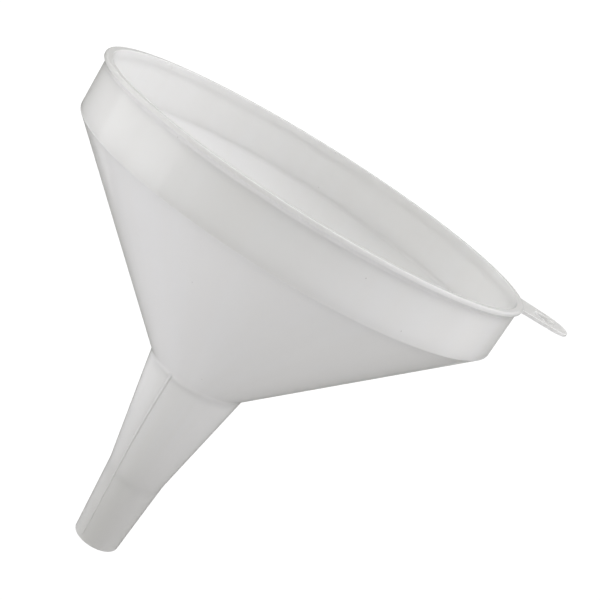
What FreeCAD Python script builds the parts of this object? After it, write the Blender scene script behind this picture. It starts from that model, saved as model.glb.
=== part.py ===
"""A filling funnel moulded in one piece of natural polypropylene, in millimetres.

The funnel stands upright: its axis is +Z, the open lower end of the spout is at Z = 0 and the
mouth is at the top. The hang tab points along +X. The moulding is held as the seven regions that
its mould forms, one sub-part each, and they meet face to face.
"""

import FreeCAD, Part
import math
import os
import Sketcher

DIMENSIONS = {
    "mouth_diameter": 250.0,
    "total_height": 244.0,
    "lip_height": 3.5,
    "lip_overhang": 1.8,
    "lip_outer_round": 1.2,
    "lip_inner_round": 0.5,
    "collar_height": 29.5,
    "bowl_wall": 2.2,
    "shoulder_round": 4.0,
    "shoulder_rise": 3.0,
    "throat_diameter": 58.0,
    "throat_height": 117.0,
    "throat_round": 2.5,
    "kink_diameter": 34.0,
    "kink_height": 48.0,
    "outlet_diameter": 27.0,
    "outlet_round": 0.8,
    "spout_wall": 2.0,
    "rib_azimuth": 240.0,
    "rib_top_offset": 3.6,
    "rib_top_width": 2.6,
    "rib_top_rise": 0.9,
    "rib_top_run": 1.5,
    "rib_kink_offset": -1.8,
    "rib_kink_width": 2.3,
    "rib_kink_rise": 0.8,
    "rib_end_offset": -0.7,
    "rib_end_width": 2.0,
    "rib_end_rise": 0.7,
    "rib_end_height": 3.0,
    "rib_root": 1.0,
    "tab_length": 28.3,
    "tab_root_width": 33.0,
    "tab_end_width": 26.5,
    "tab_thickness": 1.9,
    "tab_drop": 1.5,
    "tab_bite": 2.0,
    "hang_hole_diameter": 12.0,
    "hang_hole_reach": 14.0,
}

# Radii and heights worked out from the sheet, as expressions that FreeCAD evaluates.
LIP_RADIUS = "(dims.mouth_diameter / 2)"
COLLAR_RADIUS = f"({LIP_RADIUS} - dims.lip_overhang)"
COLLAR_INSIDE = f"({COLLAR_RADIUS} - dims.bowl_wall)"
THROAT_RADIUS = "(dims.throat_diameter / 2)"
KINK_RADIUS = "(dims.kink_diameter / 2)"
OUTLET_RADIUS = "(dims.outlet_diameter / 2)"

MOUTH_HEIGHT = "dims.total_height"
LIP_BOTTOM = "(dims.total_height - dims.lip_height)"
SHOULDER_HEIGHT = "(dims.total_height - dims.collar_height)"
COLLAR_FOOT_INSIDE = f"({SHOULDER_HEIGHT} + dims.shoulder_rise)"

# How much each wall widens for each millimetre of height, and its thickness measured level.
BOWL_SLOPE = f"(({COLLAR_RADIUS} - {THROAT_RADIUS}) / ({SHOULDER_HEIGHT} - dims.throat_height))"
UPPER_SLOPE = f"(({THROAT_RADIUS} - {KINK_RADIUS}) / (dims.throat_height - dims.kink_height))"
LOWER_SLOPE = f"(({KINK_RADIUS} - {OUTLET_RADIUS}) / dims.kink_height)"
BOWL_ACROSS = f"(dims.bowl_wall * sqrt(1 + {BOWL_SLOPE} ^ 2))"
UPPER_ACROSS = f"(dims.spout_wall * sqrt(1 + {UPPER_SLOPE} ^ 2))"
LOWER_ACROSS = f"(dims.spout_wall * sqrt(1 + {LOWER_SLOPE} ^ 2))"

# Where the inner faces of two neighbouring walls cross.
SHOULDER_INSIDE = f"({SHOULDER_HEIGHT} + ({BOWL_ACROSS} - dims.bowl_wall) / {BOWL_SLOPE})"
THROAT_GAP = f"(({BOWL_ACROSS} - {UPPER_ACROSS}) / ({BOWL_SLOPE} - {UPPER_SLOPE}))"
THROAT_INSIDE = f"(dims.throat_height + {THROAT_GAP})"
THROAT_INSIDE_RADIUS = f"({THROAT_RADIUS} + {THROAT_GAP} * {UPPER_SLOPE} - {UPPER_ACROSS})"

TOUCH = 1e-4
QUARTER_TURN = math.pi / 2


def dimension_sheet(doc):
    """The spreadsheet of driving dimensions, one alias to a row."""
    sheet = doc.addObject("Spreadsheet::Sheet", "dims")
    for row, (alias, value) in enumerate(DIMENSIONS.items(), 1):
        sheet.set(f"A{row}", alias)
        sheet.set(f"B{row}", str(value))
        sheet.setAlias(f"B{row}", alias)
    doc.recompute()
    return sheet


def value_of(expression):
    """The number that an expression comes to with the sheet's present values."""
    return float(sheet.evalExpression(expression))


def origin_plane(body, role):
    """One of a body's own origin planes."""
    return next(feature for feature in body.Origin.OriginFeatures if feature.Role == role)


def new_body(label):
    """A PartDesign body whose label names its file."""
    body = doc.addObject("PartDesign::Body", label)
    body.Label = label
    return body


def new_sketch(body, name, role, height="0"):
    """A sketch on one of the body's origin planes, raised along that plane's normal."""
    sketch = body.newObject("Sketcher::SketchObject", name)
    sketch.AttachmentSupport = (origin_plane(body, role), [""])
    sketch.MapMode = "FlatFace"
    sketch.setExpression("AttachmentOffset.Base.z", height)
    return sketch


def bind_datum(sketch, kind, geometry, expression):
    """Adds one dimension to a sketch and binds it to the sheet."""
    index = sketch.addConstraint(Sketcher.Constraint(kind, *geometry, value_of(expression)))
    sketch.setExpression(f"Constraints[{index}]", expression)


def place_point(sketch, geometry, across, up):
    """Fixes a point of the sketch at its two distances from the sketch's origin."""
    for kind, expression in (("DistanceX", across), ("DistanceY", up)):
        bind_datum(sketch, kind, (-1, 1, *geometry), expression)


def outline(sketch, corners):
    """A closed outline of straight lines through the corners, each given by two expressions."""
    points = [FreeCAD.Vector(value_of(across), value_of(up), 0) for across, up in corners]
    count = len(corners)
    for index in range(count):
        sketch.addGeometry(Part.LineSegment(points[index], points[(index + 1) % count]))
    for index in range(count):
        sketch.addConstraint(Sketcher.Constraint("Coincident", index, 2, (index + 1) % count, 1))
    for index, (across, up) in enumerate(corners):
        place_point(sketch, (index, 1), across, up)


def turned_body(label, corners):
    """A body turned about the Z axis from an outline of (radius, height) corners."""
    body = new_body(label)
    sketch = new_sketch(body, label + "_profile", "XZ_Plane")
    outline(sketch, corners)
    turn = body.newObject("PartDesign::Revolution", label + "_turn")
    turn.Profile = sketch
    turn.ReferenceAxis = (sketch, ["V_Axis"])
    turn.Angle = 360
    doc.recompute()
    return body


def round_edge(body, name, radius, height, size):
    """Rounds the circular edge of a turned body at this radius and height."""
    base = body.Tip
    wanted = (value_of(radius), value_of(height))
    edges = []
    for number, edge in enumerate(base.Shape.Edges, 1):
        if not isinstance(edge.Curve, Part.Circle):
            continue
        found = (edge.Curve.Radius, edge.Curve.Center.z)
        if abs(found[0] - wanted[0]) < TOUCH and abs(found[1] - wanted[1]) < TOUCH:
            edges.append(f"Edge{number}")
    fillet = body.newObject("PartDesign::Fillet", name)
    fillet.Base = (base, edges)
    fillet.setExpression("Radius", size)
    doc.recompute()


def make_rim_lip():
    """The stiff lip round the mouth, which stands proud of the collar outside."""
    body = turned_body(
        "rim_lip",
        [
            (COLLAR_INSIDE, LIP_BOTTOM),
            (LIP_RADIUS, LIP_BOTTOM),
            (LIP_RADIUS, MOUTH_HEIGHT),
            (COLLAR_INSIDE, MOUTH_HEIGHT),
        ],
    )
    round_edge(body, "lip_round_under", LIP_RADIUS, LIP_BOTTOM, "dims.lip_outer_round")
    round_edge(body, "lip_round_over", LIP_RADIUS, MOUTH_HEIGHT, "dims.lip_outer_round")
    round_edge(body, "lip_round_inside", COLLAR_INSIDE, MOUTH_HEIGHT, "dims.lip_inner_round")
    return body


def make_collar_band():
    """The upright band between the lip and the bowl's shoulder."""
    return turned_body(
        "collar_band",
        [
            (COLLAR_RADIUS, SHOULDER_HEIGHT),
            (COLLAR_RADIUS, LIP_BOTTOM),
            (COLLAR_INSIDE, LIP_BOTTOM),
            (COLLAR_INSIDE, COLLAR_FOOT_INSIDE),
        ],
    )


def make_cone_bowl():
    """The wide cone, from the throat to the shoulder, with its two inner corners rounded."""
    throat_wall_inside = f"({THROAT_RADIUS} - {UPPER_ACROSS})"
    body = turned_body(
        "cone_bowl",
        [
            (THROAT_RADIUS, "dims.throat_height"),
            (COLLAR_RADIUS, SHOULDER_HEIGHT),
            (COLLAR_INSIDE, COLLAR_FOOT_INSIDE),
            (COLLAR_INSIDE, SHOULDER_INSIDE),
            (THROAT_INSIDE_RADIUS, THROAT_INSIDE),
            (throat_wall_inside, "dims.throat_height"),
        ],
    )
    round_edge(body, "shoulder_blend", COLLAR_INSIDE, SHOULDER_INSIDE, "dims.shoulder_round")
    round_edge(body, "throat_blend", THROAT_INSIDE_RADIUS, THROAT_INSIDE, "dims.throat_round")
    return body


def make_upper_spout():
    """The steeper taper of the spout, from the kink to the throat."""
    return turned_body(
        "upper_spout",
        [
            (KINK_RADIUS, "dims.kink_height"),
            (THROAT_RADIUS, "dims.throat_height"),
            (f"({THROAT_RADIUS} - {UPPER_ACROSS})", "dims.throat_height"),
            (f"({KINK_RADIUS} - {UPPER_ACROSS})", "dims.kink_height"),
        ],
    )


def make_lower_spout():
    """The gentler taper of the spout, down to the square outlet with its rounded outer edge."""
    body = turned_body(
        "lower_spout",
        [
            (OUTLET_RADIUS, "0"),
            (KINK_RADIUS, "dims.kink_height"),
            (f"({KINK_RADIUS} - {UPPER_ACROSS})", "dims.kink_height"),
            (f"({OUTLET_RADIUS} - {LOWER_ACROSS})", "0"),
        ],
    )
    round_edge(body, "outlet_blend", OUTLET_RADIUS, "0", "dims.outlet_round")
    return body


def rib_section(blank, place, radius, height):
    """A level section of the rib: a flat crown half as wide as its foot, and a buried root."""
    middle, half = f"dims.rib_{place}_offset", f"(dims.rib_{place}_width / 2)"
    foot = f"sqrt({radius} ^ 2 - {middle} ^ 2)"
    crown = f"({foot} + dims.rib_{place}_rise)"
    root = f"({foot} - dims.rib_root)"
    sketch = new_sketch(blank, f"rib_{place}", "XY_Plane", height)
    outline(
        sketch,
        [
            (root, f"{middle} - {half}"),
            (foot, f"{middle} - {half}"),
            (crown, f"{middle} - {half} / 2"),
            (crown, f"{middle} + {half} / 2"),
            (foot, f"{middle} + {half}"),
            (root, f"{middle} + {half}"),
        ],
    )
    return sketch


def make_vent_rib(walls):
    """The low rib down the outside of the spout that lets air out of a bottle's neck."""
    blank = new_body("vent_rib_blank")
    end_radius = f"({OUTLET_RADIUS} + dims.rib_end_height * {LOWER_SLOPE})"
    top_radius = f"({THROAT_RADIUS} + dims.rib_top_run * {UPPER_SLOPE})"
    top_height = "(dims.throat_height + dims.rib_top_run)"
    stations = [
        ("end", end_radius, "dims.rib_end_height"),
        ("kink", KINK_RADIUS, "dims.kink_height"),
        ("top", top_radius, top_height),
    ]
    sections = []
    for place, radius, height in stations:
        sections.append(rib_section(blank, place, radius, height))
    loft = blank.newObject("PartDesign::AdditiveLoft", "rib_loft")
    loft.Profile = sections[0]
    loft.Sections = sections[1:]
    loft.Ruled = True
    blank.setExpression("Placement.Rotation.Angle", "dims.rib_azimuth")
    doc.recompute()
    return trimmed("vent_rib", blank, walls)


def make_hang_tab(lip):
    """The flat eyelet that carries the funnel on a hook, trimmed to the lip's outer face."""
    blank = new_body("hang_tab_blank")
    underside = "(dims.total_height - dims.tab_drop - dims.tab_thickness)"
    sketch = new_sketch(blank, "tab_outline", "XY_Plane", underside)
    root = f"({LIP_RADIUS} - dims.tab_bite)"
    end_centre = f"({LIP_RADIUS} + dims.tab_length - dims.tab_end_width / 2)"
    root_x, root_y = value_of(root), value_of("dims.tab_root_width / 2")
    end_x, end_y = value_of(end_centre), value_of("dims.tab_end_width / 2")
    end_circle = Part.Circle(FreeCAD.Vector(end_x, 0, 0), FreeCAD.Vector(0, 0, 1), end_y)
    corners = [
        FreeCAD.Vector(end_x, end_y, 0),
        FreeCAD.Vector(root_x, root_y, 0),
        FreeCAD.Vector(root_x, -root_y, 0),
        FreeCAD.Vector(end_x, -end_y, 0),
    ]
    for start, end in zip(corners, corners[1:]):
        sketch.addGeometry(Part.LineSegment(start, end))
    sketch.addGeometry(Part.ArcOfCircle(end_circle, -QUARTER_TURN, QUARTER_TURN))
    sketch.addConstraint(Sketcher.Constraint("Coincident", 0, 2, 1, 1))
    sketch.addConstraint(Sketcher.Constraint("Coincident", 1, 2, 2, 1))
    sketch.addConstraint(Sketcher.Constraint("Tangent", 3, 2, 0, 1))
    sketch.addConstraint(Sketcher.Constraint("Tangent", 2, 2, 3, 1))
    place_point(sketch, (3, 3), end_centre, "0")
    bind_datum(sketch, "Radius", (3,), "dims.tab_end_width / 2")
    place_point(sketch, (1, 1), root, "dims.tab_root_width / 2")
    place_point(sketch, (1, 2), root, "-dims.tab_root_width / 2")
    plate = blank.newObject("PartDesign::Pad", "tab_plate")
    plate.Profile = sketch
    plate.setExpression("Length", "dims.tab_thickness")
    doc.recompute()

    hole_sketch = new_sketch(blank, "hang_hole_outline", "XY_Plane", underside)
    reach = f"({LIP_RADIUS} + dims.hang_hole_reach)"
    centre = FreeCAD.Vector(value_of(reach), 0, 0)
    hole_radius = "dims.hang_hole_diameter / 2"
    hole_sketch.addGeometry(Part.Circle(centre, FreeCAD.Vector(0, 0, 1), value_of(hole_radius)))
    place_point(hole_sketch, (0, 3), reach, "0")
    bind_datum(hole_sketch, "Radius", (0,), hole_radius)
    hole = blank.newObject("PartDesign::Pocket", "hang_hole")
    hole.Profile = hole_sketch
    hole.Type = "ThroughAll"
    hole.Reversed = True
    doc.recompute()
    return trimmed("hang_tab", blank, lip)


def trimmed(label, blank, tool):
    """What is left of a blank outside another solid, so that the two meet face to face."""
    cut = doc.addObject("Part::Cut", label)
    cut.Label = label
    cut.Base = blank
    cut.Tool = tool
    doc.recompute()
    return cut


def joined(name, parts):
    """Several sub-parts fused into one solid, used only to trim what is moulded onto them."""
    fusion = doc.addObject("Part::MultiFuse", name)
    fusion.Shapes = parts
    doc.recompute()
    return fusion


def check_document(parts):
    """Stops the script if any object failed or any sub-part isn't one sound solid."""
    for item in doc.Objects:
        if "Invalid" in item.State or "Error" in item.State:
            raise RuntimeError(f"{item.Label} failed: {item.State}")
    for part in parts:
        shape = part.Shape
        if shape.isNull() or not shape.isValid() or len(shape.Solids) != 1:
            raise RuntimeError(f"{part.Label} isn't one valid solid")


doc = FreeCAD.newDocument("filling_funnel")
sheet = dimension_sheet(doc)

rim_lip = make_rim_lip()
collar_band = make_collar_band()
cone_bowl = make_cone_bowl()
upper_spout = make_upper_spout()
lower_spout = make_lower_spout()
spout_walls = joined("spout_walls", [lower_spout, upper_spout, cone_bowl])
vent_rib = make_vent_rib(spout_walls)
hang_tab = make_hang_tab(rim_lip)

sub_parts = [rim_lip, collar_band, cone_bowl, upper_spout, lower_spout, vent_rib, hang_tab]
doc.recompute()
check_document(sub_parts)

os.makedirs("parts", exist_ok=True)
for part in sub_parts:
    part.Shape.exportStep(f"parts/{part.Label}.step")
    box = part.Shape.optimalBoundingBox()
    print(
        f"{part.Label}: {part.Shape.Volume:.0f} mm3,"
        f" X {box.XMin:.2f} to {box.XMax:.2f},"
        f" Y {box.YMin:.2f} to {box.YMax:.2f},"
        f" Z {box.ZMin:.2f} to {box.ZMax:.2f}"
    )
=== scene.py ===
"""Studio picture of a filling funnel, one injection moulding of natural, milky polypropylene.

The moulding is shown as the seven regions that its mould forms. Each is a closed mesh of its own,
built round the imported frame. The rings meet face to face, and the roots of the rib and the tab are
sunk into them. Lengths are in metres.
"""

import math

import bmesh
import bpy
from mathutils import Matrix, Vector
from mathutils.geometry import tessellate_polygon


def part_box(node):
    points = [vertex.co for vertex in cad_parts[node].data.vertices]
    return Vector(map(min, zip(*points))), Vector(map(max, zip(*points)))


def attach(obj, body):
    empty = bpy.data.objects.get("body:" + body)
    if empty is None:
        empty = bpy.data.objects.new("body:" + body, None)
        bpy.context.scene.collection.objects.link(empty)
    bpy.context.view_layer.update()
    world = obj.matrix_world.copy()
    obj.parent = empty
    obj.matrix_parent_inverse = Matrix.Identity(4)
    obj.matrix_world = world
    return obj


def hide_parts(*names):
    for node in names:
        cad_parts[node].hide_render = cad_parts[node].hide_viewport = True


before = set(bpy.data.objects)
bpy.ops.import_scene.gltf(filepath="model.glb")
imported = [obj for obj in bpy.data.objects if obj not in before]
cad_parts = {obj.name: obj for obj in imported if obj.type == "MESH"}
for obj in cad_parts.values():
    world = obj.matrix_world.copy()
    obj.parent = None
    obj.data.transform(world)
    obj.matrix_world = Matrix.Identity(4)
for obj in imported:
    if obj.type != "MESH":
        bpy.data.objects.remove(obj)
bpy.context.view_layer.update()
MM = 0.001

# The moulding's main sizes, from the frame.
LIP_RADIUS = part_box("rim_lip")[1].x
MOUTH_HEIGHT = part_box("rim_lip")[1].z
LIP_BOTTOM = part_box("rim_lip")[0].z
COLLAR_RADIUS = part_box("collar_band")[1].x
SHOULDER_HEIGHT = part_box("collar_band")[0].z
THROAT_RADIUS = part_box("upper_spout")[1].x
THROAT_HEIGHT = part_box("upper_spout")[1].z
KINK_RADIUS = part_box("lower_spout")[1].x
KINK_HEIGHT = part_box("lower_spout")[1].z
TAB_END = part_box("hang_tab")[1].x
TAB_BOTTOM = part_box("hang_tab")[0].z
TAB_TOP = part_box("hang_tab")[1].z
RIB_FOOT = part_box("vent_rib")[0].z

# Sizes that the frame's boxes don't give.
OUTLET_RADIUS = 13.5 * MM
BOWL_WALL = 2.2 * MM
SPOUT_WALL = 2.0 * MM
LIP_ROUND = 1.2 * MM
LIP_LOWER_ROUND = 0.6 * MM
LIP_FILLET = 1.5 * MM
LIP_SLANT = 1.8 * MM
LIP_DROP = 0.3 * MM
LIP_INNER_ROUND = 0.5 * MM
INNER_SEAM_RISE = 3 * MM
SHOULDER_ROUND = 1.0 * MM
SHOULDER_INNER_ROUND = 4.0 * MM
THROAT_ROUND = 6.0 * MM
THROAT_INNER_ROUND = 2.5 * MM
KINK_ROUND = 45 * MM
KINK_INNER_ROUND = 0.9 * KINK_ROUND
OUTLET_ROUND = 0.8 * MM
OUTLET_INNER_ROUND = 0.4 * MM
RIB_AZIMUTHS = (math.radians(237), math.radians(234), math.radians(247))
RIB_WIDTHS = (2.0 * MM, 2.3 * MM, 2.6 * MM)
RIB_RISES = (0.25 * MM, 0.35 * MM, 0.45 * MM)
RIB_CREST = 0.2
RIB_TOP_RUN = 1.5 * MM
RIB_NOSE = 3.0 * MM
RIB_ROOT = 0.5 * MM
RIB_SINK = 0.01 * MM
TAB_ROOT_WIDTH = 33 * MM
TAB_END_WIDTH = 26.5 * MM
TAB_FLARE = 2.5 * MM
TAB_EDGE = 0.45 * MM
TAB_BURIAL = 2.8 * MM
HOLE_RADIUS = 6 * MM
HOLE_REACH = 14 * MM

# The tab's end is two corner arcs, this round, on a tab this much wider, so that they don't meet.
TAB_END_ROUND = 0.98 * TAB_END_WIDTH / 2
TAB_END_EASE = 0.01 * MM

# The depths of the plastic's unevenness.
WAVE_DEPTH = 0.035 * MM
FLOW_DEPTH = 0.01 * MM
SKIN_DEPTH = 0.002 * MM

# How finely round shapes are divided.
COLUMNS = 360
ARC_STEP = math.radians(8)
CREASE = math.radians(32)
LARGE_FACE_WEIGHT = 80
RIB_SECTION_STEPS = 20
RIB_NOSE_STEPS = 8
RIB_FIRST_STEP = 0.2
RIB_RUN_STEPS = 48
TAB_EDGE_STEPS = 5
TAB_ROOT_STEPS = 24
HOLE_STEPS = 72

# An arc that would end just at the next corner is drawn this much smaller, so that no two points meet.
JUST_SHORT = 0.999

# How much each wall widens for each metre of height, and its thickness measured level.
BOWL_SLOPE = (COLLAR_RADIUS - THROAT_RADIUS) / (SHOULDER_HEIGHT - THROAT_HEIGHT)
UPPER_SLOPE = (THROAT_RADIUS - KINK_RADIUS) / (THROAT_HEIGHT - KINK_HEIGHT)
LOWER_SLOPE = (KINK_RADIUS - OUTLET_RADIUS) / KINK_HEIGHT
BOWL_ACROSS = BOWL_WALL * math.hypot(1, BOWL_SLOPE)
UPPER_ACROSS = SPOUT_WALL * math.hypot(1, UPPER_SLOPE)
LOWER_ACROSS = SPOUT_WALL * math.hypot(1, LOWER_SLOPE)
COLLAR_INSIDE = COLLAR_RADIUS - BOWL_WALL


def arc_run(slope, next_slope, radius):
    """How far from a corner between two walls the arc that rounds it begins."""
    return radius * math.tan(abs(math.atan(slope) - math.atan(next_slope)) / 2)


def along(radius, height, slope, run):
    """The point this far up a wall of this slope from a point on it."""
    length = math.hypot(1, slope)
    return radius + run * slope / length, height + run / length


# Where each region meets the next: on the outside, at the end of the arc that rounds the corner.
LIP_OVERHANG = LIP_RADIUS - COLLAR_RADIUS
LIP_NECK = LIP_BOTTOM - LIP_DROP
LIP_FOOT = LIP_NECK - arc_run(0, LIP_OVERHANG / LIP_SLANT, LIP_FILLET)
COLLAR_FOOT = SHOULDER_HEIGHT + arc_run(0, BOWL_SLOPE, SHOULDER_ROUND)
COLLAR_FOOT_INSIDE = SHOULDER_HEIGHT + INNER_SEAM_RISE
THROAT_RUN = arc_run(UPPER_SLOPE, BOWL_SLOPE, THROAT_ROUND)
SPOUT_TOP = along(THROAT_RADIUS, THROAT_HEIGHT, UPPER_SLOPE, -THROAT_RUN)
SPOUT_TOP_INSIDE = (SPOUT_TOP[0] - UPPER_ACROSS, SPOUT_TOP[1])
KINK_RUN = arc_run(LOWER_SLOPE, UPPER_SLOPE, KINK_ROUND)
LOWER_TOP = along(KINK_RADIUS, KINK_HEIGHT, LOWER_SLOPE, -KINK_RUN)
LOWER_TOP_INSIDE = (LOWER_TOP[0] - LOWER_ACROSS, LOWER_TOP[1])


def rounded(corners):
    """A closed outline through (x, y, radius) corners, with an arc at each that has a radius."""
    points = []
    count = len(corners)
    for index, (x, y, radius) in enumerate(corners):
        corner = Vector((x, y))
        if not radius:
            points.append(corner)
            continue
        back = (Vector(corners[index - 1][:2]) - corner).normalized()
        ahead = (Vector(corners[(index + 1) % count][:2]) - corner).normalized()
        turn = math.pi - back.angle(ahead)
        centre = corner + (back + ahead).normalized() * radius / math.cos(turn / 2)
        start = corner + back * radius * math.tan(turn / 2) - centre
        way = -math.copysign(turn, back.cross(ahead))
        steps = max(3, math.ceil(turn / ARC_STEP))
        for step in range(steps + 1):
            points.append(centre + Matrix.Rotation(way * step / steps, 2) @ start)
    return points


def finished(name, mesh):
    """A piece of the moulding, smooth but for its creases, which rides on the body."""
    mesh.validate()
    mesh.polygons.foreach_set("use_smooth", [True] * len(mesh.polygons))
    mesh.set_sharp_from_angle(angle=CREASE)
    piece = bpy.data.objects.new(name, mesh)
    bpy.context.scene.collection.objects.link(piece)
    even = piece.modifiers.new("even_normals", "WEIGHTED_NORMAL")
    even.keep_sharp = True
    even.weight = LARGE_FACE_WEIGHT
    mesh.materials.append(plastic)
    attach(piece, "root")
    return piece


def stands_for(piece, region):
    """Hides the region of the CAD model that the piece shows."""
    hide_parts(region)


def turned(name, corners):
    """A ring-shaped piece: a closed outline of (radius, height) turned about the Z axis."""
    outline = rounded(corners)
    rows = len(outline)
    points = []
    for column in range(COLUMNS):
        angle = math.tau * column / COLUMNS
        for radius, height in outline:
            points.append((radius * math.cos(angle), radius * math.sin(angle), height))
    faces = []
    for column in range(COLUMNS):
        here = column * rows
        beside = (column + 1) % COLUMNS * rows
        for row in range(rows):
            above = (row + 1) % rows
            faces.append((here + row, beside + row, beside + above, here + above))
    mesh = bpy.data.meshes.new(name)
    mesh.from_pydata(points, [], faces)
    return finished(name, mesh)


def make_rim_lip():
    """The rounded lip round the mouth, which stands proud of the collar and runs softly into it."""
    corners = [
        (COLLAR_INSIDE, LIP_FOOT, 0),
        (COLLAR_RADIUS, LIP_FOOT, 0),
        (COLLAR_RADIUS, LIP_NECK, LIP_FILLET * JUST_SHORT),
        (LIP_RADIUS, LIP_NECK + LIP_SLANT, LIP_LOWER_ROUND),
        (LIP_RADIUS, MOUTH_HEIGHT, LIP_ROUND),
        (COLLAR_INSIDE, MOUTH_HEIGHT, LIP_INNER_ROUND),
    ]
    stands_for(turned("rim_lip_bead", corners), "rim_lip")


def make_collar_band():
    """The upright band between the lip and the bowl's shoulder."""
    corners = [
        (COLLAR_RADIUS, COLLAR_FOOT, 0),
        (COLLAR_RADIUS, LIP_FOOT, 0),
        (COLLAR_INSIDE, LIP_FOOT, 0),
        (COLLAR_INSIDE, COLLAR_FOOT_INSIDE, 0),
    ]
    stands_for(turned("collar_wall", corners), "collar_band")


def make_cone_bowl():
    """The wide cone from the throat to the shoulder, with its corners rounded."""
    shoulder_inside = SHOULDER_HEIGHT + (BOWL_ACROSS - BOWL_WALL) / BOWL_SLOPE
    gap = (BOWL_ACROSS - UPPER_ACROSS) / (BOWL_SLOPE - UPPER_SLOPE)
    throat_inside = THROAT_RADIUS + gap * UPPER_SLOPE - UPPER_ACROSS
    corners = [
        (*SPOUT_TOP, 0),
        (THROAT_RADIUS, THROAT_HEIGHT, THROAT_ROUND * JUST_SHORT),
        (COLLAR_RADIUS, SHOULDER_HEIGHT, SHOULDER_ROUND * JUST_SHORT),
        (COLLAR_RADIUS, COLLAR_FOOT, 0),
        (COLLAR_INSIDE, COLLAR_FOOT_INSIDE, 0),
        (COLLAR_INSIDE, shoulder_inside, SHOULDER_INNER_ROUND),
        (throat_inside, THROAT_HEIGHT + gap, THROAT_INNER_ROUND),
        (*SPOUT_TOP_INSIDE, 0),
    ]
    stands_for(turned("cone_wall", corners), "cone_bowl")


def make_upper_spout():
    """The steeper taper of the spout, from the kink to the throat."""
    corners = [
        (*LOWER_TOP, 0),
        (KINK_RADIUS, KINK_HEIGHT, KINK_ROUND * JUST_SHORT),
        (*SPOUT_TOP, 0),
        (*SPOUT_TOP_INSIDE, 0),
        (KINK_RADIUS - UPPER_ACROSS, KINK_HEIGHT, KINK_INNER_ROUND),
        (*LOWER_TOP_INSIDE, 0),
    ]
    stands_for(turned("upper_spout_wall", corners), "upper_spout")


def make_lower_spout():
    """The gentler taper of the spout, down to its square-cut outlet."""
    corners = [
        (OUTLET_RADIUS, 0, OUTLET_ROUND),
        (*LOWER_TOP, 0),
        (*LOWER_TOP_INSIDE, 0),
        (OUTLET_RADIUS - LOWER_ACROSS, 0, OUTLET_INNER_ROUND),
    ]
    stands_for(turned("lower_spout_wall", corners), "lower_spout")


def spout_radius(height):
    """The outer radius of the spout at a height, carried on straight above the throat."""
    if height < KINK_HEIGHT:
        return OUTLET_RADIUS + height * LOWER_SLOPE
    return KINK_RADIUS + (height - KINK_HEIGHT) * UPPER_SLOPE


def rib_measure(sizes, height):
    """A size of the rib at a height, from its sizes at the foot, the kink and the throat."""
    foot, kink, top = sizes
    if height < KINK_HEIGHT:
        return foot + (kink - foot) * (height - RIB_FOOT) / (KINK_HEIGHT - RIB_FOOT)
    return kink + (top - kink) * (height - KINK_HEIGHT) / (THROAT_HEIGHT - KINK_HEIGHT)


def rib_ring(height, share):
    """The rib's section at a height as points: a wave that runs into the spout, and a buried root."""
    azimuth = rib_measure(RIB_AZIMUTHS, height)
    width = rib_measure(RIB_WIDTHS, height) * share
    rise = rib_measure(RIB_RISES, height) * share
    base = spout_radius(height)
    section = []
    for step in range(RIB_SECTION_STEPS + 1):
        way = 2 * step / RIB_SECTION_STEPS - 1
        across = width * (RIB_CREST + way * (0.5 - math.copysign(RIB_CREST, way)))
        section.append((across, rise * (1 + math.cos(math.pi * way)) / 2 - RIB_SINK))
    section += [(width / 2, -RIB_ROOT), (-width / 2, -RIB_ROOT)]
    ring = []
    for across, out in section:
        angle = azimuth + across / base
        radius = base + out
        ring.append((radius * math.cos(angle), radius * math.sin(angle), height))
    return ring


def make_vent_rib():
    """The rib down the outside of the spout, which lets air out of a bottle's neck."""
    top = THROAT_HEIGHT + RIB_TOP_RUN
    rings = []
    for step in range(RIB_NOSE_STEPS):
        turn = math.pi / 2 * (step + RIB_FIRST_STEP) / RIB_NOSE_STEPS
        rings.append(rib_ring(RIB_FOOT + RIB_NOSE * (1 - math.cos(turn)), math.sin(turn)))
    start = RIB_FOOT + RIB_NOSE
    for step in range(RIB_RUN_STEPS + 1):
        rings.append(rib_ring(start + (top - start) * step / RIB_RUN_STEPS, 1))
    size = len(rings[0])
    faces = [tuple(reversed(range(size)))]
    for row in range(len(rings) - 1):
        here = row * size
        above = here + size
        for i in range(size):
            j = (i + 1) % size
            faces.append((here + i, here + j, above + j, above + i))
    last = (len(rings) - 1) * size
    faces.append(tuple(range(last, last + size)))
    mesh = bpy.data.meshes.new("vent_rib_bead")
    mesh.from_pydata([point for ring in rings for point in ring], [], faces)
    stands_for(finished("vent_rib_bead", mesh), "vent_rib")


def edge_profile():
    """The plate's edge as (inset, height) from the underside to the top, with both edges rounded."""
    profile = []
    for step in range(TAB_EDGE_STEPS + 1):
        angle = math.pi / 2 * step / TAB_EDGE_STEPS
        inset = TAB_EDGE * (1 - math.sin(angle))
        profile.append((inset, TAB_BOTTOM + TAB_EDGE * (1 - math.cos(angle))))
    for step in range(TAB_EDGE_STEPS + 1):
        angle = math.pi / 2 * step / TAB_EDGE_STEPS
        inset = TAB_EDGE * (1 - math.cos(angle))
        profile.append((inset, TAB_TOP - TAB_EDGE * (1 - math.sin(angle))))
    return profile


def inward(loop):
    """For each point of a loop, the direction to its left: inward if the loop runs anticlockwise."""
    directions = []
    for index, point in enumerate(loop):
        run = loop[(index + 1) % len(loop)] - loop[index - 1]
        directions.append(Vector((-run.y, run.x)).normalized())
    return directions


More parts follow.
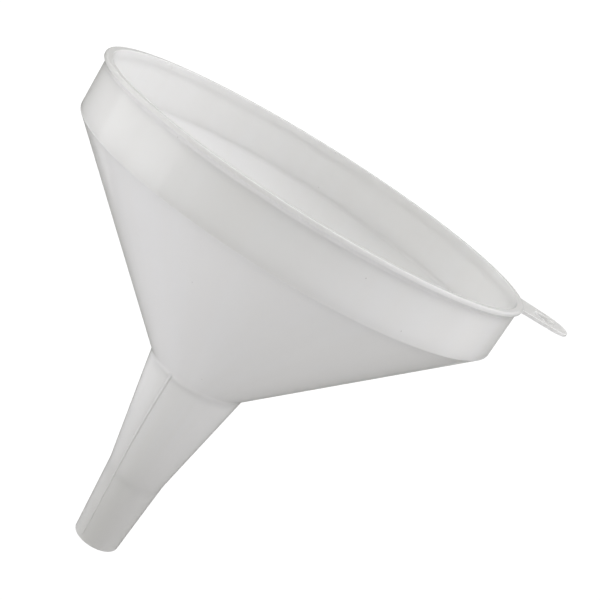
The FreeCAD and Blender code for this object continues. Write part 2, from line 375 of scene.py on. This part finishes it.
def tab_outline():
    """The tab seen from above, anticlockwise from the arc of its root, which is sunk in the lip."""
    end = TAB_END_WIDTH / 2 + TAB_END_EASE
    side = TAB_ROOT_WIDTH / 2
    corner_radius = LIP_RADIUS - TAB_EDGE
    corner = Vector((math.sqrt(corner_radius ** 2 - side ** 2), side))
    wing = corner + Vector((-corner.y, corner.x)).normalized() * 2 * TAB_FLARE
    root_radius = LIP_RADIUS - TAB_BURIAL
    root_angle = math.atan2(wing.y, wing.x)
    root = []
    for step in range(TAB_ROOT_STEPS + 1):
        angle = root_angle * (1 - 2 * step / TAB_ROOT_STEPS)
        root.append((root_radius * math.cos(angle), root_radius * math.sin(angle), 0))
    return rounded([
        *root,
        (wing.x, -wing.y, 0),
        (corner.x, -corner.y, TAB_FLARE),
        (TAB_END, -end, TAB_END_ROUND),
        (TAB_END, end, TAB_END_ROUND),
        (corner.x, corner.y, TAB_FLARE),
        (wing.x, wing.y, 0),
    ])


def make_hang_tab():
    """The flat eyelet on the lip, with a round hole and softly rounded edges."""
    outline = tab_outline()
    centre = Vector((LIP_RADIUS + HOLE_REACH, 0))
    hole = []
    for step in range(HOLE_STEPS):
        angle = -math.tau * step / HOLE_STEPS
        hole.append(centre + HOLE_RADIUS * Vector((math.cos(angle), math.sin(angle))))
    shape = bmesh.new()
    profile = edge_profile()
    rims = []
    for loop in (outline, hole):
        rows = []
        directions = inward(loop)
        for inset, height in profile:
            row = []
            for point, direction in zip(loop, directions):
                row.append(shape.verts.new((*(point + direction * inset), height)))
            rows.append(row)
        for low, high in zip(rows, rows[1:]):
            for i in range(len(loop)):
                j = (i + 1) % len(loop)
                shape.faces.new((low[i], low[j], high[j], high[i]))
        rims.append((rows[0], rows[-1]))
    for side in (0, 1):
        loops = [rim[side] for rim in rims]
        corners = [vert for loop in loops for vert in loop]
        for triangle in tessellate_polygon([[vert.co for vert in loop] for loop in loops]):
            shape.faces.new([corners[i] for i in triangle])
    bmesh.ops.recalc_face_normals(shape, faces=shape.faces)
    mesh = bpy.data.meshes.new("hang_tab_plate")
    shape.to_mesh(mesh)
    shape.free()
    stands_for(finished("hang_tab_plate", mesh), "hang_tab")


def node(tree, kind, inputs=None, **settings):
    """A shader node whose inputs are set to numbers and colours or linked to other sockets."""
    made = tree.nodes.new("ShaderNode" + kind)
    for name, value in settings.items():
        setattr(made, name, value)
    for name, value in (inputs or {}).items():
        if isinstance(value, bpy.types.NodeSocket):
            tree.links.new(value, made.inputs[name])
        else:
            made.inputs[name].default_value = value
    return made


def noise(tree, place, scale, detail=2.0, roughness=0.5):
    """The factor of a noise pattern, from 0 to 1 about a half."""
    inputs = {"Vector": place, "Scale": scale, "Detail": detail, "Roughness": roughness}
    return node(tree, "TexNoise", inputs).outputs["Fac"]


def ranged(tree, value, low, high, to_low, to_high):
    """The value carried from one range to another, and held at its ends."""
    inputs = {0: value, 1: low, 2: high, 3: to_low, 4: to_high}
    return node(tree, "MapRange", inputs, interpolation_type="SMOOTHSTEP").outputs[0]


def mixed(tree, share, first, second):
    """A colour between two colours."""
    inputs = {0: share, 6: first, 7: second}
    return node(tree, "Mix", inputs, data_type="RGBA").outputs[2]


# The plastic's own colours, then the darker colour of the painted shade on the spout, and how it takes
# the light.
COOL_MILK = (0.893, 0.893, 0.895, 1)
WARM_MILK = (0.898, 0.893, 0.885, 1)
STREAK_MILK = (0.888, 0.884, 0.878, 1)
SPOUT_SHADE_MILK = (0.79, 0.785, 0.77, 1)
SPECK = (0.30, 0.28, 0.25, 1)
PASSED_LIGHT = (0.93, 0.93, 0.93, 1)
TRANSLUCENT_SHARE = 0.3
PLASTIC_IOR = 1.49
GLOSS_RANGE = (0.08, 0.11)

# How closely the patterns repeat, in waves to the metre, but for the flow marks, which go round the axis.
FLOW_SCALE = 9
FLOW_STRETCH = (1, 1, 0.06)
CLOUD_SCALE = 16
WAVE_SCALE = 26
SMEAR_SCALE = 60
SPECK_SCALE = 75
SKIN_SCALE = 900


def flow_place(tree, place):
    """Coordinates that change round the axis and hardly at all along the wall."""
    flat = node(tree, "VectorMath", {0: place, 1: FLOW_STRETCH}, operation="MULTIPLY")
    return node(tree, "VectorMath", {0: flat.outputs[0]}, operation="NORMALIZE").outputs[0]


def make_plastic():
    """Natural polypropylene: milky, satin, with faint flow marks, a few dark specks and painted shade on
    the spout.
    """
    material = bpy.data.materials.new("natural_polypropylene")
    material.use_nodes = True
    tree = material.node_tree
    tree.nodes.clear()
    place = node(tree, "TexCoord").outputs["Object"]
    flow = noise(tree, flow_place(tree, place), FLOW_SCALE, 4)

    cloud = ranged(tree, noise(tree, place, CLOUD_SCALE, 3), 0.3, 0.7, 0, 1)
    colour = mixed(tree, cloud, COOL_MILK, WARM_MILK)
    streak = ranged(tree, flow, 0.35, 0.65, 0, 1)
    colour = mixed(tree, streak, colour, STREAK_MILK)
    height = node(tree, "SeparateXYZ", {0: place}).outputs[2]
    # Painted shade: the colour darkens from the throat down to the outlet.
    spout_shade = ranged(tree, height, 0, THROAT_HEIGHT, 1, 0)
    colour = mixed(tree, spout_shade, colour, SPOUT_SHADE_MILK)
    cells = node(tree, "TexVoronoi", {"Vector": place, "Scale": SPECK_SCALE}).outputs["Distance"]
    speck = ranged(tree, cells, 0.012, 0.03, 0.6, 0)
    colour = mixed(tree, speck, colour, SPECK)

    smear = noise(tree, place, SMEAR_SCALE, 4, 0.6)
    gloss = ranged(tree, smear, 0.3, 0.7, *GLOSS_RANGE)

    wave = noise(tree, place, WAVE_SCALE, 1)
    waves = node(tree, "Bump", {"Strength": 1.0, "Distance": WAVE_DEPTH, "Height": wave})
    marks = node(tree, "Bump", {
        "Strength": 1.0,
        "Distance": FLOW_DEPTH,
        "Height": flow,
        "Normal": waves.outputs[0],
    })
    peel = noise(tree, place, SKIN_SCALE, 2)
    skin = node(tree, "Bump", {
        "Strength": 1.0,
        "Distance": SKIN_DEPTH,
        "Height": peel,
        "Normal": marks.outputs[0],
    })
    surface = node(tree, "BsdfPrincipled", {
        "Base Color": colour,
        "Roughness": gloss,
        "Normal": skin.outputs[0],
        "IOR": PLASTIC_IOR,
    })
    inside = node(tree, "BsdfTranslucent", {"Color": PASSED_LIGHT, "Normal": skin.outputs[0]})
    parts = {0: TRANSLUCENT_SHARE, 1: surface.outputs[0], 2: inside.outputs[0]}
    shader = node(tree, "MixShader", parts)
    output = node(tree, "OutputMaterial")
    tree.links.new(shader.outputs[0], output.inputs["Surface"])
    return material


# The camera: where it stands round the point it orbits, and how it is turned from there. Fitted to
# the outline in the photo.
ORBIT_HEIGHT = 0.6 * MOUTH_HEIGHT
CAMERA_DISTANCE = 2.569 * MOUTH_HEIGHT
CAMERA_ELEVATION = math.radians(17.0)
CAMERA_ROLL = math.radians(31.71)
CAMERA_PAN = math.radians(-3.655)
CAMERA_TILT = math.radians(1.357)
CAMERA_LENS = 69.5


def make_camera():
    """The camera in front of the funnel, leaning to one side as it is held for the picture."""
    data = bpy.data.cameras.new("camera")
    data.lens = CAMERA_LENS
    data.sensor_width = 36
    data.clip_end = 100
    camera = bpy.data.objects.new("camera", data)
    orbit = Matrix.Translation((0, 0, ORBIT_HEIGHT))
    rise = Matrix.Rotation(math.pi / 2 - CAMERA_ELEVATION, 4, "X")
    back = Matrix.Translation((0, 0, CAMERA_DISTANCE))
    roll = Matrix.Rotation(CAMERA_ROLL, 4, "Z")
    pan = Matrix.Rotation(CAMERA_PAN, 4, "Y")
    tilt = Matrix.Rotation(CAMERA_TILT, 4, "X")
    camera.matrix_world = orbit @ rise @ back @ roll @ pan @ tilt
    bpy.context.scene.collection.objects.link(camera)
    bpy.context.scene.camera = camera


# How far the lights stand from the point that the camera orbits, and the light of the room itself.
STAND_DISTANCE = 1.3
BOOM_DISTANCE = 0.8
STUDIO_WHITE = (1.05, 1.05, 1.05, 1)
ROOM_LIGHT = (0.11, 0.11, 0.09, 1)
GLOW_CORE = math.cos(math.radians(5))


def make_softbox(name, azimuths, elevations, brightness, distance=STAND_DISTANCE, mirrored=True):
    """A softbox that spans these degrees, seen from the bowl, and isn't seen by the camera.

    One that isn't mirrored lights the plastic but leaves no gloss on it.
    """
    width = 2 * distance * math.tan(math.radians(azimuths[1] - azimuths[0]) / 2)
    height = 2 * distance * math.tan(math.radians(elevations[1] - elevations[0]) / 2)
    data = bpy.data.lights.new(name, "AREA")
    data.shape = "RECTANGLE"
    data.size = width
    data.size_y = height
    data.energy = brightness * math.pi * width * height
    light = bpy.data.objects.new(name, data)
    turn = math.radians(sum(azimuths) / 2)
    rise = math.radians(sum(elevations) / 2)
    way = Vector((math.cos(turn) * math.cos(rise), math.sin(turn) * math.cos(rise), math.sin(rise)))
    light.location = way * distance + Vector((0, 0, ORBIT_HEIGHT))
    light.rotation_mode = "QUATERNION"
    light.rotation_quaternion = way.to_track_quat("Z", "Y")
    light.visible_camera = False
    light.visible_glossy = mirrored
    bpy.context.scene.collection.objects.link(light)


def glow(tree, way, azimuth, elevation, reach, colour):
    """A wide soft patch of light in the room, brightest about this direction."""
    turn = math.radians(azimuth)
    rise = math.radians(elevation)
    centre = (math.cos(turn) * math.cos(rise), math.sin(turn) * math.cos(rise), math.sin(rise))
    nearness = node(tree, "VectorMath", {0: way, 1: centre}, operation="DOT_PRODUCT").outputs["Value"]
    edge = math.cos(math.radians(reach))
    share = ranged(tree, nearness, edge, GLOW_CORE, 0, 1)
    return mixed(tree, share, (0, 0, 0, 1), (*colour, 1))


def make_world():
    """A white room to the camera, and to the plastic a dim one with four soft glows."""
    world = bpy.data.worlds.new("studio")
    world.use_nodes = True
    tree = world.node_tree
    tree.nodes.clear()
    way = node(tree, "TexCoord").outputs["Generated"]
    glows = [
        glow(tree, way, 180, -45, 60, (0.62, 0.61, 0.69)),
        glow(tree, way, 300, -45, 60, (0.46, 0.44, 0.51)),
        glow(tree, way, 250, -50, 60, (0.17, 0.18, 0.12)),
        glow(tree, way, 0, 50, 50, (0.61, 0.60, 0.66)),
    ]
    room = ROOM_LIGHT
    for patch in glows:
        both = {0: 1.0, 6: room, 7: patch}
        room = node(tree, "Mix", both, data_type="RGBA", blend_type="ADD").outputs[2]
    seen = node(tree, "LightPath").outputs["Is Camera Ray"]
    colour = mixed(tree, seen, room, STUDIO_WHITE)
    background = node(tree, "Background", {"Color": colour})
    output = node(tree, "OutputWorld")
    tree.links.new(background.outputs[0], output.inputs["Surface"])
    bpy.context.scene.world = world


def make_floor():
    """A plain white light table under the spout, which gives the object no light of its own."""
    material = bpy.data.materials.new("light_table")
    material.use_nodes = True
    tree = material.node_tree
    tree.nodes.clear()
    shine = node(tree, "Emission", {"Color": STUDIO_WHITE})
    output = node(tree, "OutputMaterial")
    tree.links.new(shine.outputs[0], output.inputs["Surface"])
    reach = 30
    below = -0.5 * MM
    mesh = bpy.data.meshes.new("floor")
    corners = [(x * reach, y * reach, below) for x, y in ((-1, -1), (1, -1), (1, 1), (-1, 1))]
    mesh.from_pydata(corners, [], [(0, 1, 2, 3)])
    mesh.materials.append(material)
    floor = bpy.data.objects.new("floor", mesh)
    bpy.context.scene.collection.objects.link(floor)
    floor.visible_diffuse = False
    floor.visible_glossy = False
    floor.visible_transmission = False
    floor.visible_shadow = False


def make_lights():
    """Softboxes that the plastic mirrors, with dark room between, and fills that it doesn't.

    Their brightness, like that of the glows and the room, was fitted to the photo's tones, then
    rounded, and in places changed.
    """
    make_softbox("left_softbox", (160, 213), (-18, 45), 0.92)
    make_softbox("left_side_panel", (213, 230), (-18, 45), 0.28)
    make_softbox("left_bright_strip", (190, 213), (-18, -2), 0.7)
    make_softbox("left_low_strip", (120, 160), (-32, -16), 0.25)
    make_softbox("front_panel", (250, 290), (0, 35), 0.4)
    make_softbox("front_right_panel", (300, 338), (0, 35), 1.35)
    make_softbox("front_right_strip", (300, 338), (-16, -4), 0.45)
    make_softbox("right_side_panel", (-22, -2), (-18, 45), 0.5)
    make_softbox("right_broad_strip", (6, 22), (-18, -2), 0.35)
    make_softbox("right_narrow_strip", (29, 33), (-16, -4), 0.15)
    make_softbox("right_back_strip", (57, 70), (-18, -2), 0.2)
    make_softbox("left_fill", (150, 200), (-18, 45), 0.47, mirrored=False)
    make_softbox("left_front_fill", (200, 245), (-18, 45), 0.65, mirrored=False)
    make_softbox("right_fill", (-20, 40), (-18, 45), 0.78, mirrored=False)
    make_softbox("back_left_fill", (106, 140), (35, 70), 1.75, mirrored=False)
    make_softbox("back_fill", (70, 105), (35, 70), 1.75, mirrored=False)
    make_softbox("back_low_fill", (60, 120), (-35, 30), 0.25, mirrored=False)
    make_softbox("top_back_fill", (70, 110), (30, 70), 0.85, BOOM_DISTANCE, mirrored=False)
    make_softbox("top_right_fill", (-20, 20), (30, 70), 1.23, BOOM_DISTANCE, mirrored=False)
    make_softbox("overhead_fill", (70, 110), (69, 109), 1.7, BOOM_DISTANCE, mirrored=False)


plastic = make_plastic()
make_rim_lip()
make_collar_band()
make_cone_bowl()
make_upper_spout()
make_lower_spout()
make_vent_rib()
make_hang_tab()
make_camera()
make_world()
make_floor()
make_lights()
bpy.context.scene.view_settings.view_transform = "Standard"
